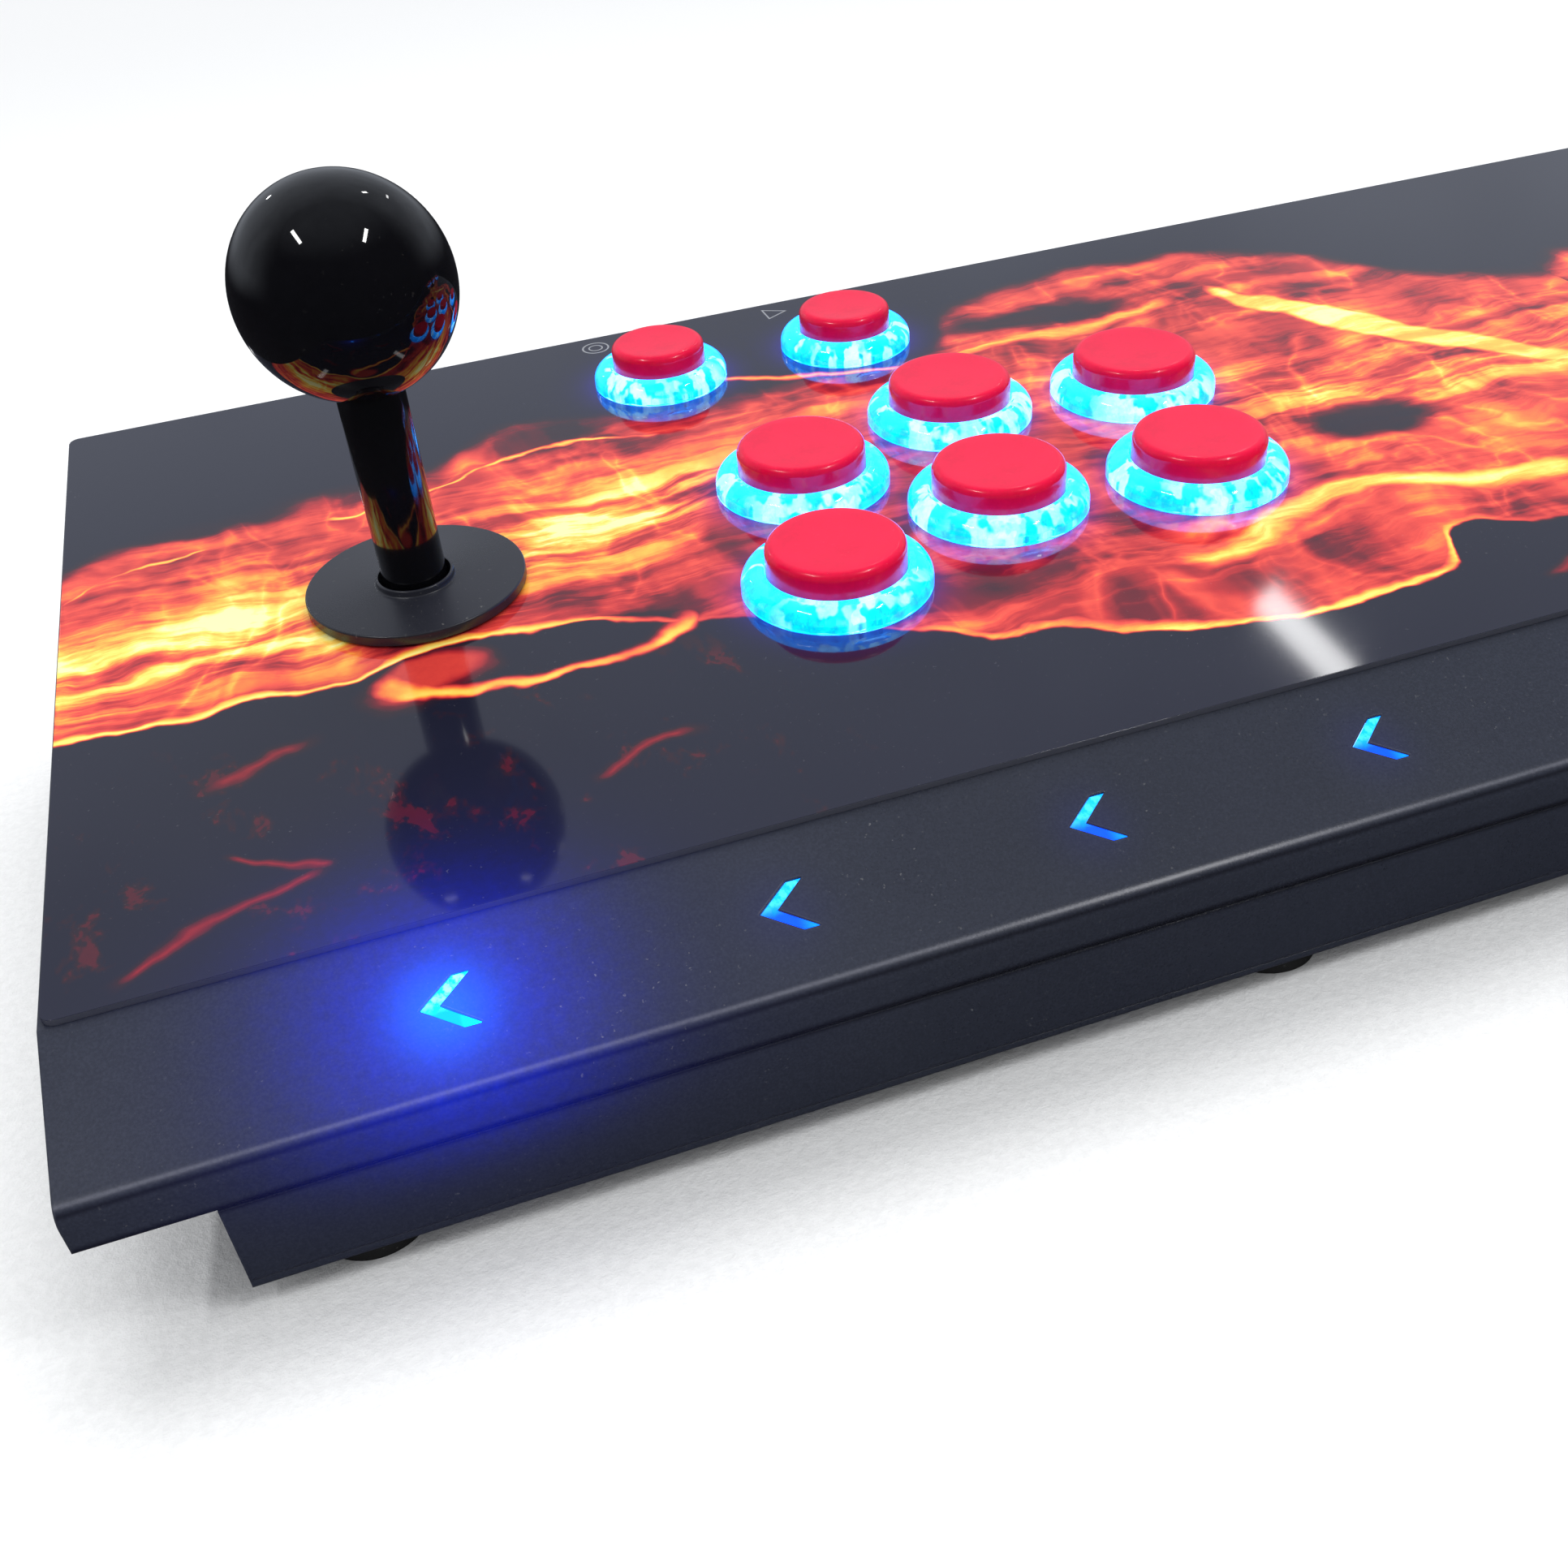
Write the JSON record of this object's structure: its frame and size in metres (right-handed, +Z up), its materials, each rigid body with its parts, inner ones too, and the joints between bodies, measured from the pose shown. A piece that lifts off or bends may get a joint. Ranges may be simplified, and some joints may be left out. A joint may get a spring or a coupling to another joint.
{
  "type": "arcade joystick console",
  "caption": "Long black folded-steel control console with a printed glossy deck, lit chevrons on its front slope, ball-top sticks and round lit push buttons for two players.",
  "frame": {"origin": "on the table, under the middle of the console's overall width and depth", "axes": "+X to the players' right along the console, +Y away from the players, +Z up"},
  "size_m": [0.644, 0.2108, 0.1216],
  "materials": {
    "black_powder_coat": "satin black powder coat with a fine texture",
    "printed_cover": "glossy clear-coated print of abstract flames on black",
    "foot_rubber": "matt black rubber",
    "bright_steel": "bright zinc or nickel plate",
    "black_steel": "black oxide",
    "plain_steel": "plain drawn steel",
    "lit_acrylic": "opal acrylic, lit from behind",
    "white_board": "white solder resist",
    "lit_lens": "lamp lens, lit cyan",
    "clear_rim": "clear plastic carrying cyan lamp light",
    "black_nylon": "moulded nylon",
    "white_nylon": "moulded nylon",
    "green_board": "green solder resist",
    "brass": "turned brass",
    "aluminium": "extruded, clear anodised",
    "red_plastic": "moulded opaque red, lightly polished",
    "gloss_black": "polished black",
    "sleeve_black": "smooth black tube",
    "washer_black": "satin black"
  },
  "bodies": {
    "case": {"upper_shell": "black_powder_coat", "deck_cover": "printed_cover", "base_frame": "black_powder_coat", "bottom_plate": "black_powder_coat", "rubber_feet": "foot_rubber", "m3_screws": "bright_steel", "shell_screws": "black_steel", "clinch_nuts": "bright_steel", "light_diffuser": "lit_acrylic", "light_board": "white_board", "lamp_leds": "lit_lens", "button_rims": "clear_rim", "button_nuts": "black_nylon", "switch_holders": "white_nylon", "microswitches": "black_nylon", "game_board": "green_board", "board_standoffs": "brass", "heat_sink": "aluminium", "video_sockets": "bright_steel", "usb_sockets": "bright_steel", "audio_jack": "black_nylon", "power_inlet": "black_nylon", "rocker_frame": "black_nylon", "stick_plates": "plain_steel", "stick_housings": "black_nylon", "stick_gates": "white_nylon", "stick_bolts": "bright_steel"},
    "power_rocker": {"rocker_paddle": "red_plastic"},
    "left_gimbal": {"left_pivot_ring": "white_nylon"},
    "left_stick": {"left_ball": "gloss_black", "left_sleeve": "sleeve_black", "left_shaft": "plain_steel", "left_actuator": "black_nylon", "left_spring": "bright_steel"},
    "left_slider": {"left_dust_slider": "black_nylon"},
    "left_washer": {"left_dust_washer": "washer_black"},
    "right_gimbal": {"right_pivot_ring": "white_nylon"},
    "right_stick": {"right_ball": "gloss_black", "right_sleeve": "sleeve_black", "right_shaft": "plain_steel", "right_actuator": "black_nylon", "right_spring": "bright_steel"},
    "right_slider": {"right_dust_slider": "black_nylon"},
    "right_washer": {"right_dust_washer": "washer_black"},
    "left_plunger_1": {"left_plunger_1": "red_plastic"},
    "left_plunger_2": {"left_plunger_2": "red_plastic"},
    "left_plunger_3": {"left_plunger_3": "red_plastic"},
    "left_plunger_4": {"left_plunger_4": "red_plastic"},
    "left_plunger_5": {"left_plunger_5": "red_plastic"},
    "left_plunger_6": {"left_plunger_6": "red_plastic"},
    "right_plunger_1": {"right_plunger_1": "red_plastic"},
    "right_plunger_2": {"right_plunger_2": "red_plastic"},
    "right_plunger_3": {"right_plunger_3": "red_plastic"},
    "right_plunger_4": {"right_plunger_4": "red_plastic"},
    "right_plunger_5": {"right_plunger_5": "red_plastic"},
    "right_plunger_6": {"right_plunger_6": "red_plastic"},
    "left_coin_plunger": {"left_coin_plunger": "red_plastic"},
    "left_start_plunger": {"left_start_plunger": "red_plastic"},
    "right_coin_plunger": {"right_coin_plunger": "red_plastic"},
    "right_start_plunger": {"right_start_plunger": "red_plastic"}
  },
  "joints": [
    {"name": "power_rocker_tip", "type": "hinge", "parent": "case", "child": "power_rocker", "pos_m": [0.062, 0.09887, 0.024], "axis": [0, 0, 1], "range_deg": [-24, 0]},
    {"name": "left_stick_fore_aft", "type": "hinge", "parent": "case", "child": "left_gimbal", "pos_m": [-0.2605, 0.00588, 0.03731], "axis": [1, 0, 0], "range_deg": [-8, 8], "stiffness_Nm_per_rad": 0.9},
    {"name": "left_stick_sideways", "type": "hinge", "parent": "left_gimbal", "child": "left_stick", "pos_m": [-0.2605, 0.00588, 0.03731], "axis": [0, 0.9903, 0.1392], "range_deg": [-8, 8], "stiffness_Nm_per_rad": 0.9},
    {"name": "left_slider_sideways", "type": "slide", "parent": "case", "child": "left_slider", "axis": [1, 0, 0], "range_m": [-0.0023, 0.0023]},
    {"name": "left_washer_fore_aft", "type": "slide", "parent": "left_slider", "child": "left_washer", "axis": [0, 0.9903, 0.1392], "range_m": [-0.0023, 0.0023]},
    {"name": "right_stick_fore_aft", "type": "hinge", "parent": "case", "child": "right_gimbal", "pos_m": [0.0615, 0.00588, 0.03731], "axis": [1, 0, 0], "range_deg": [-8, 8], "stiffness_Nm_per_rad": 0.9},
    {"name": "right_stick_sideways", "type": "hinge", "parent": "right_gimbal", "child": "right_stick", "pos_m": [0.0615, 0.00588, 0.03731], "axis": [0, 0.9903, 0.1392], "range_deg": [-8, 8], "stiffness_Nm_per_rad": 0.9},
    {"name": "right_slider_sideways", "type": "slide", "parent": "case", "child": "right_slider", "axis": [1, 0, 0], "range_m": [-0.0023, 0.0023]},
    {"name": "right_washer_fore_aft", "type": "slide", "parent": "right_slider", "child": "right_washer", "axis": [0, 0.9903, 0.1392], "range_m": [-0.0023, 0.0023]},
    {"name": "left_plunger_1_press", "type": "slide", "parent": "case", "child": "left_plunger_1", "axis": [0, 0.1392, -0.9903], "range_m": [0, 0.003], "stiffness_N_per_m": 250, "springref_m": -0.002},
    {"name": "left_plunger_2_press", "type": "slide", "parent": "case", "child": "left_plunger_2", "axis": [0, 0.1392, -0.9903], "range_m": [0, 0.003], "stiffness_N_per_m": 250, "springref_m": -0.002},
    {"name": "left_plunger_3_press", "type": "slide", "parent": "case", "child": "left_plunger_3", "axis": [0, 0.1392, -0.9903], "range_m": [0, 0.003], "stiffness_N_per_m": 250, "springref_m": -0.002},
    {"name": "left_plunger_4_press", "type": "slide", "parent": "case", "child": "left_plunger_4", "axis": [0, 0.1392, -0.9903], "range_m": [0, 0.003], "stiffness_N_per_m": 250, "springref_m": -0.002},
    {"name": "left_plunger_5_press", "type": "slide", "parent": "case", "child": "left_plunger_5", "axis": [0, 0.1392, -0.9903], "range_m": [0, 0.003], "stiffness_N_per_m": 250, "springref_m": -0.002},
    {"name": "left_plunger_6_press", "type": "slide", "parent": "case", "child": "left_plunger_6", "axis": [0, 0.1392, -0.9903], "range_m": [0, 0.003], "stiffness_N_per_m": 250, "springref_m": -0.002},
    {"name": "right_plunger_1_press", "type": "slide", "parent": "case", "child": "right_plunger_1", "axis": [0, 0.1392, -0.9903], "range_m": [0, 0.003], "stiffness_N_per_m": 250, "springref_m": -0.002},
    {"name": "right_plunger_2_press", "type": "slide", "parent": "case", "child": "right_plunger_2", "axis": [0, 0.1392, -0.9903], "range_m": [0, 0.003], "stiffness_N_per_m": 250, "springref_m": -0.002},
    {"name": "right_plunger_3_press", "type": "slide", "parent": "case", "child": "right_plunger_3", "axis": [0, 0.1392, -0.9903], "range_m": [0, 0.003], "stiffness_N_per_m": 250, "springref_m": -0.002},
    {"name": "right_plunger_4_press", "type": "slide", "parent": "case", "child": "right_plunger_4", "axis": [0, 0.1392, -0.9903], "range_m": [0, 0.003], "stiffness_N_per_m": 250, "springref_m": -0.002},
    {"name": "right_plunger_5_press", "type": "slide", "parent": "case", "child": "right_plunger_5", "axis": [0, 0.1392, -0.9903], "range_m": [0, 0.003], "stiffness_N_per_m": 250, "springref_m": -0.002},
    {"name": "right_plunger_6_press", "type": "slide", "parent": "case", "child": "right_plunger_6", "axis": [0, 0.1392, -0.9903], "range_m": [0, 0.003], "stiffness_N_per_m": 250, "springref_m": -0.002},
    {"name": "left_coin_plunger_press", "type": "slide", "parent": "case", "child": "left_coin_plunger", "axis": [0, 0.1392, -0.9903], "range_m": [0, 0.003], "stiffness_N_per_m": 250, "springref_m": -0.002},
    {"name": "left_start_plunger_press", "type": "slide", "parent": "case", "child": "left_start_plunger", "axis": [0, 0.1392, -0.9903], "range_m": [0, 0.003], "stiffness_N_per_m": 250, "springref_m": -0.002},
    {"name": "right_coin_plunger_press", "type": "slide", "parent": "case", "child": "right_coin_plunger", "axis": [0, 0.1392, -0.9903], "range_m": [0, 0.003], "stiffness_N_per_m": 250, "springref_m": -0.002},
    {"name": "right_start_plunger_press", "type": "slide", "parent": "case", "child": "right_start_plunger", "axis": [0, 0.1392, -0.9903], "range_m": [0, 0.003], "stiffness_N_per_m": 250, "springref_m": -0.002}
  ],
  "couplings": [
    {"joint": "left_slider_sideways", "follows": "left_stick_sideways", "m_per_rad": 0.0155},
    {"joint": "left_washer_fore_aft", "follows": "left_stick_fore_aft", "m_per_rad": -0.0155},
    {"joint": "right_slider_sideways", "follows": "right_stick_sideways", "m_per_rad": 0.0155},
    {"joint": "right_washer_fore_aft", "follows": "right_stick_fore_aft", "m_per_rad": -0.0155}
  ]
}
